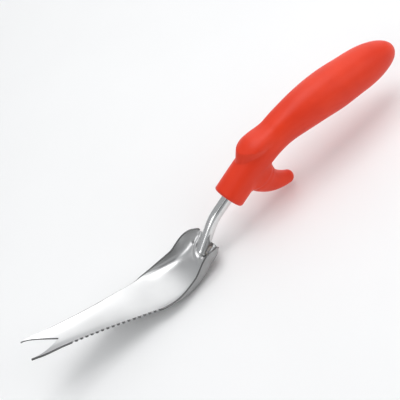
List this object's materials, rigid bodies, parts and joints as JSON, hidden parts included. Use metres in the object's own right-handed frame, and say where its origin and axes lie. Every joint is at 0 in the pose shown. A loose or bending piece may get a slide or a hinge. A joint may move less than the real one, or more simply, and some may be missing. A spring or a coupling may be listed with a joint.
{
  "type": "hand weeder",
  "caption": "Hand weeder with a forked scoop blade, saw teeth on one edge, welded to a bent round shank in a soft grip with thumb stop and finger guard.",
  "frame": {"origin": "centre of the bounding box in plan, at the height of the scoop's belly, which the tool rests on", "axes": "+X from the forked tip to the handle's end, +Z towards the thumb stop, +Y away from the toothed edge"},
  "size_m": [0.3412, 0.0446, 0.0639],
  "materials": {
    "blade_steel": "satin polished stainless sheet",
    "shank_steel": "polished bar",
    "weld_metal": "as welded, brushed",
    "core_plastic": "moulded",
    "grip_rubber": "satin soft-touch moulding"
  },
  "bodies": {
    "root": {"blade": "blade_steel", "shank": "shank_steel", "weld_bead_left": "weld_metal", "weld_bead_right": "weld_metal", "handle_core": "core_plastic", "grip": "grip_rubber"}
  },
  "joints": []
}
